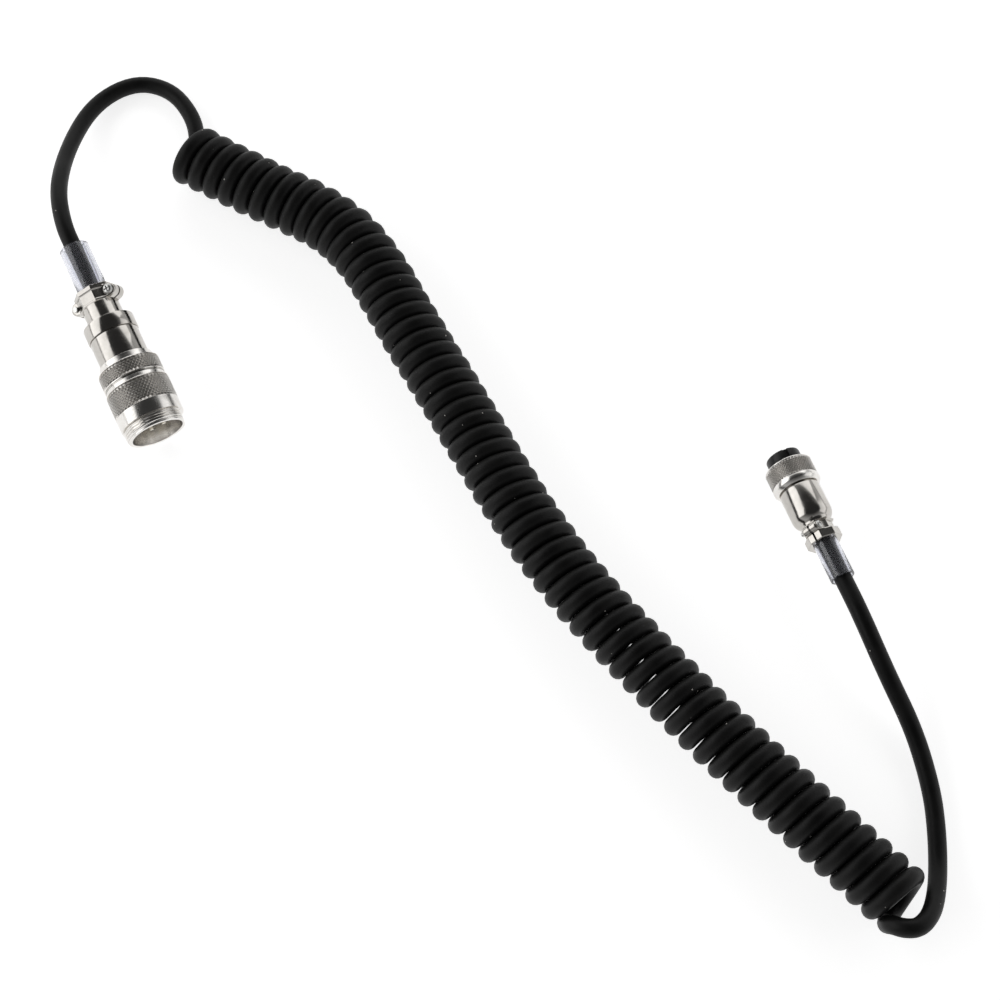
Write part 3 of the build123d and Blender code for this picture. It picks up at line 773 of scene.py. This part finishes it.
def mix_colour(tree, factor, a, b):
    """A blend of two colours; the factor runs from 0 for a to 1 for b."""
    made = node(tree, "Mix", data_type="RGBA")
    for label, value in ((0, factor), (6, a), (7, b)):
        if isinstance(value, bpy.types.NodeSocket):
            tree.links.new(value, made.inputs[label])
        else:
            made.inputs[label].default_value = value if label == 0 else (*value, 1)
    return made.outputs[2]


def bump(tree, height, distance, strength=1.0):
    """A small relief in the shading, its distance in metres."""
    made = node(tree, "Bump", [("Height", height), ("Distance", distance), ("Strength", strength)])
    return made.outputs["Normal"]


def metal(name, bright, dull, smooth, rough, groove_dirt_and_shade=None):
    """A plated metal that runs from bright and smooth to dull and rough with handling; with a groove
    colour, its low places darken toward it, for dirt and as painted shade.
    """
    material, tree, shader = new_material(name)
    handled = use_group(tree, wear, Scale=1.0)
    shader.inputs["Metallic"].default_value = 1.0
    colour = mix_colour(tree, handled["Haze"], bright, dull)
    roughness = ramp(tree, handled["Haze"], 0, 1, smooth, rough)
    if groove_dirt_and_shade:
        # The low places are darkened and dulled, for the dirt that settles there and as painted shade.
        recess = node(tree, "Attribute", attribute_name="recess").outputs["Fac"]
        depth_and_stain = math(tree, "ADD", recess, math(tree, "MULTIPLY", handled["Stain"], 0.2))
        dirt_and_shade = ramp(tree, depth_and_stain, 0.88, 1.25)
        colour = mix_colour(tree, dirt_and_shade, colour, groove_dirt_and_shade)
        roughness = math(tree, "ADD", roughness, math(tree, "MULTIPLY", dirt_and_shade, 0.3))
    tree.links.new(colour, shader.inputs["Base Color"])
    tree.links.new(roughness, shader.inputs["Roughness"])
    tree.links.new(bump(tree, handled["Scratch"], 0.000004, 0.5), shader.inputs["Normal"])
    return material


nickel = metal("nickel", (0.55, 0.53, 0.50), (0.49, 0.47, 0.44), 0.11, 0.2)
# The knurled nickel is a brighter copy of the plain nickel, a painted highlight for the light its facets
# catch. Its groove colour is dirt and painted shade in the low places.
nickel_knurl = metal("nickel_knurl", (0.80, 0.78, 0.75), (0.72, 0.70, 0.67), 0.18, 0.28,
                     groove_dirt_and_shade=(0.34, 0.32, 0.3))
zinc = metal("screw_zinc", (0.72, 0.72, 0.70), (0.55, 0.55, 0.54), 0.24, 0.42)
steel = metal("spring_steel", (0.42, 0.41, 0.39), (0.3, 0.29, 0.28), 0.2, 0.36)
silver = metal("contact_silver", (0.82, 0.80, 0.74), (0.66, 0.62, 0.52), 0.12, 0.24)

# %% [markdown]
# The cord's jacket is soft black rubber. It has a fine pebble, broad soft highlights and a little
# dust. The insert and the sleeves of the joints are black too, but harder and smoother.

# %% Rubber, plastics and wire
def black(name, colour, worn, smooth, rough, grain_scale, depth, dust_amount, film, shine=0.4):
    """A black rubber or plastic with moulded grain, duller patches and dust."""
    material, tree, shader = new_material(name)
    moulded = use_group(tree, grain, Scale=grain_scale)
    dusty = use_group(tree, dust, Amount=dust_amount)
    base = mix_colour(tree, moulded["Patches"], colour, worn)
    base = mix_colour(tree, math(tree, "MULTIPLY", dusty["Film"], film), base, (0.25, 0.24, 0.22))
    base = mix_colour(tree, dusty["Specks"], base, (0.5, 0.48, 0.45))
    rough_now = ramp(tree, moulded["Patches"], 0, 1, smooth, rough)
    rough_now = math(tree, "ADD", rough_now, math(tree, "MULTIPLY", dusty["Specks"], 0.4), clamp=True)
    tree.links.new(base, shader.inputs["Base Color"])
    tree.links.new(rough_now, shader.inputs["Roughness"])
    tree.links.new(bump(tree, moulded["Height"], depth), shader.inputs["Normal"])
    shader.inputs["Specular IOR Level"].default_value = shine
    return material


rubber = black("cord_rubber", (0.005, 0.005, 0.005), (0.008, 0.008, 0.008), 0.42, 0.55, 1.0, 0.00002,
               0.1, 0.02, shine=0.16)
insulator = black("black_insulator", (0.006, 0.006, 0.006), (0.01, 0.01, 0.01), 0.3, 0.4, 1.0, 0.00001,
                  0.06, 0.02, shine=0.3)
shrink = black("shrink_black", (0.014, 0.014, 0.014), (0.02, 0.02, 0.02), 0.4, 0.5, 1.0, 0.00001,
               0.02, 0.02)
jackets = black("wire_jackets", (0.35, 0.04, 0.03), (0.28, 0.03, 0.03), 0.38, 0.5, 1.0, 0.00001,
                0.02, 0.02)

# %% [markdown]
# The guards are clear vinyl. The wall is thin, so it looks grey and lets the black cord through, and
# its edges gather light and look bluish. Old vinyl is slightly cloudy.

# %% Clear vinyl
clear, tree, shader = new_material("clear_sleeve")
clouded = use_group(tree, wear, Scale=0.7)
dusty = use_group(tree, dust, Amount=0.2)
shader.inputs["Transmission Weight"].default_value = 0.95
shader.inputs["IOR"].default_value = 1.52
shader.inputs["Specular IOR Level"].default_value = 0.6
tint = mix_colour(tree, clouded["Haze"], (0.86, 0.87, 0.92), (0.74, 0.75, 0.82))
tree.links.new(mix_colour(tree, dusty["Specks"], tint, (0.9, 0.9, 0.88)), shader.inputs["Base Color"])
tree.links.new(ramp(tree, clouded["Haze"], 0, 1, 0.07, 0.16), shader.inputs["Roughness"])
print("materials:", [m.name for m in bpy.data.materials])

# %% [markdown]
# Now each piece gets its finish, the CAD nodes that it stands for, and the body that it moves with.
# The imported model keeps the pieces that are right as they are, such as washers and wires, and those
# only get a better finish.

# %% Pieces and bodies
PIECES = [
    (shell, nickel_knurl, "cord_set", ["jack_front_shell"]),
    (lock_ring, nickel_knurl, "lock_ring", ["jack_lock_ring"]),
    (barrel, nickel, "cord_set", ["jack_barrel"]),
    (back_shell, nickel, "cord_set", ["jack_back_shell"]),
    (jack_saddle, nickel, "cord_set", []),
    (jack_strap, nickel, "cord_set", ["jack_clamp_strap"]),
    (screws[0], zinc, "cord_set", ["jack_clamp_screws"]),
    (screws[1], zinc, "cord_set", []),
    (jack_sleeve, clear, "cord_set", ["jack_sleeve"]),
    (pins, silver, "cord_set", ["jack_pins"]),
    (coupling_ring, nickel_knurl, "coupling_ring", ["plug_coupling_ring"]),
    (plug_back, nickel, "cord_set", ["plug_back_shell"]),
    (plug_saddle, nickel, "cord_set", []),
    (plug_strap, nickel, "cord_set", ["plug_clamp_strap"]),
    (screws[2], zinc, "cord_set", ["plug_clamp_screws"]),
    (screws[3], zinc, "cord_set", []),
    (plug_sleeve, clear, "cord_set", ["plug_sleeve"]),
    (insert, insulator, "cord_set", ["plug_insert"]),
    (cord, rubber, "cord_set", ["cord_jack_lead", "cord_coil", "cord_plug_lead", "jack_cord_end",
                                "plug_cord_end"]),
]
for piece, material, body, nodes in PIECES:
    piece.data.materials.clear()
    piece.data.materials.append(material)
    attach(piece, body)
    if nodes:
        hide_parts(*nodes)

KEPT = {
    "jack_lock_washer": nickel, "jack_insulator": insulator, "jack_circlip": steel, "jack_wires": jackets,
    "jack_wire_sleeves": shrink, "plug_thrust_washer": nickel, "plug_front_shell": nickel,
    "plug_contacts": silver, "plug_wires": jackets,
}
for name, material in KEPT.items():
    kept = frame["nodes"][name]
    for material_slot in kept.material_slots:
        material_slot.material = material
print(len(PIECES), "pieces made,", len(KEPT), "kept")

# %% [markdown]

# %% [markdown]
# The picture is set like a catalogue photograph. The object lies on a glowing white table, which leaves
# almost no shadow. Large soft lamps stand round it, which keeps the highlights broad, and the dark room
# overhead makes the broad dark band along the top of each metal cylinder.

# %% Table, lamps and room
table = bpy.data.objects.new("table", bpy.data.meshes.new("table"))
half = 12.0
corners = [(-half, -half, 0), (half, -half, 0), (half, half, 0), (-half, half, 0)]
table.data.from_pydata(corners, [], [(0, 1, 2, 3)])
bpy.context.scene.collection.objects.link(table)
paper, tree, shader = new_material("table_white")
shader.inputs["Roughness"].default_value = 0.9
paper_tone = noise(tree, node(tree, "TexCoord").outputs["Object"], 4, 2)
paper_colour = mix_colour(tree, paper_tone, (0.68, 0.68, 0.68), (0.72, 0.72, 0.72))
tree.links.new(paper_colour, shader.inputs["Base Color"])
shader.inputs["Emission Color"].default_value = (1.0, 1.0, 1.0, 1.0)
shader.inputs["Emission Strength"].default_value = 0.78
table.data.materials.append(paper)


def lamp(name, place, size, power, target=(0, 0, 0)):
    """A rectangular soft lamp that points at the target."""
    light = bpy.data.lights.new(name, "AREA")
    light.shape, light.size, light.size_y, light.energy = "RECTANGLE", size[0], size[1], power
    made = bpy.data.objects.new(name, light)
    made.location = place
    made.rotation_euler = (Vector(target) - Vector(place)).to_track_quat("-Z", "Y").to_euler()
    bpy.context.scene.collection.objects.link(made)
    return made


lamp("left_softbox", (-1.3, 0.1, 0.7), (1.8, 1.1), 8.5)
lamp("right_softbox", (1.4, 0.3, 0.7), (1.8, 1.0), 4)
lamp("back_softbox", (0.0, 1.4, 0.8), (2.0, 0.8), 5.5)

world = bpy.data.worlds.new("room")
bpy.context.scene.world = world
world.use_nodes = True
tree = world.node_tree
height = node(tree, "SeparateXYZ", [(0, node(tree, "TexCoord").outputs["Generated"])]).outputs["Z"]
sky = mix_colour(tree, ramp(tree, height, 0.25, 0.8), (0.5, 0.5, 0.5), (0.03, 0.03, 0.03))
tree.links.new(sky, tree.nodes["Background"].inputs["Color"])
tree.nodes["Background"].inputs["Strength"].default_value = 1.0
bpy.context.scene.view_settings.view_transform = "Standard"
